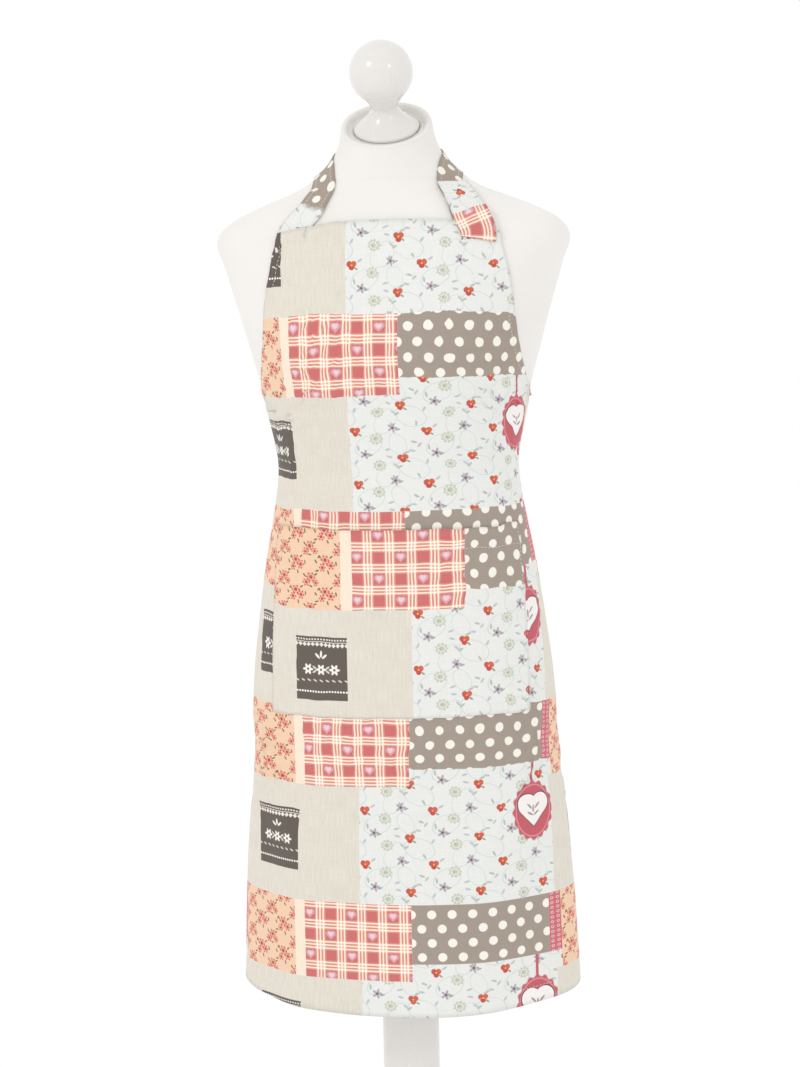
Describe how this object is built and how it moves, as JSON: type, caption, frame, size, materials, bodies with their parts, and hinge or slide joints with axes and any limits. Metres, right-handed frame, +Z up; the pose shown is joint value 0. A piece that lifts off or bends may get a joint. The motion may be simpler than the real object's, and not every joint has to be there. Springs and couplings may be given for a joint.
{
  "type": "bib apron on a dress form",
  "caption": "Printed cotton bib apron with a patch pocket, neck strap and tied waist ties, worn by a white jersey display bust on a turned tripod stand.",
  "frame": {"origin": "on the floor, in the middle of the footprint of the three feet and the bust", "axes": "+Z up along the post, -Y towards the front of the apron, +X to the bust's left side"},
  "size_m": [0.4956, 0.433, 1.5533],
  "materials": {
    "white_lacquered_wood": "turned wood in white semi-gloss lacquer",
    "plywood": "raw birch plywood",
    "zinc_steel": "bright zinc plate",
    "polished_steel": "polished steel tube",
    "knob_plastic": "moulded black plastic",
    "foot_rubber": "moulded rubber",
    "bust_shell": "moulded shell",
    "white_jersey": "fine knitted jersey, stretched",
    "printed_cotton": "plain-weave cotton, printed one side in a patchwork of florals, checks and dots"
  },
  "bodies": {
    "base": {"column": "white_lacquered_wood", "leg_front": "white_lacquered_wood", "leg_left": "white_lacquered_wood", "leg_right": "white_lacquered_wood", "leg_bolt_front": "zinc_steel", "leg_bolt_left": "zinc_steel", "leg_bolt_right": "zinc_steel", "foot_pad_front": "foot_rubber", "foot_pad_left": "foot_rubber", "foot_pad_right": "foot_rubber", "post_collar": "polished_steel", "collar_screw_1": "zinc_steel", "collar_screw_2": "zinc_steel", "collar_screw_3": "zinc_steel"},
    "lock": {"lock_screw": "zinc_steel", "lock_knob": "knob_plastic"},
    "post": {"post_tube": "polished_steel"},
    "torso": {"base_board": "plywood", "neck_cap": "plywood", "flange_screw_1": "zinc_steel", "flange_screw_2": "zinc_steel", "flange_screw_3": "zinc_steel", "flange_screw_4": "zinc_steel", "board_screw_front_left": "zinc_steel", "board_screw_front_right": "zinc_steel", "board_screw_back_left": "zinc_steel", "board_screw_back_right": "zinc_steel", "finial_stud": "zinc_steel", "finial_nut": "zinc_steel", "socket_flange": "zinc_steel", "torso_shell": "bust_shell", "jersey_cover": "white_jersey", "apron_body": "printed_cotton", "pocket": "printed_cotton", "neck_strap": "printed_cotton", "neck_tab": "printed_cotton", "waist_tie_left": "printed_cotton", "waist_tie_right": "printed_cotton", "tie_knot": "printed_cotton", "tie_loop_left": "printed_cotton", "tie_loop_right": "printed_cotton", "tie_tail_left": "printed_cotton", "tie_tail_right": "printed_cotton"},
    "finial": {"finial": "white_lacquered_wood"}
  },
  "joints": [
    {"name": "height_slide", "type": "slide", "parent": "base", "child": "post", "axis": [0, 0, 1], "range_m": [-0.08, 0.16]},
    {"name": "torso_swivel", "type": "hinge", "parent": "post", "child": "torso", "pos_m": [0, 0.0675, 0.79], "axis": [0, 0, 1], "continuous": true},
    {"name": "lock_turn", "type": "hinge", "parent": "base", "child": "lock", "pos_m": [0, 0.0675, 0.6193], "axis": [0, 1, 0], "range_deg": [0, 720]},
    {"name": "finial_turn", "type": "hinge", "parent": "torso", "child": "finial", "pos_m": [0, 0.0405, 1.458], "axis": [0, -0.5, 0.866], "continuous": true}
  ]
}
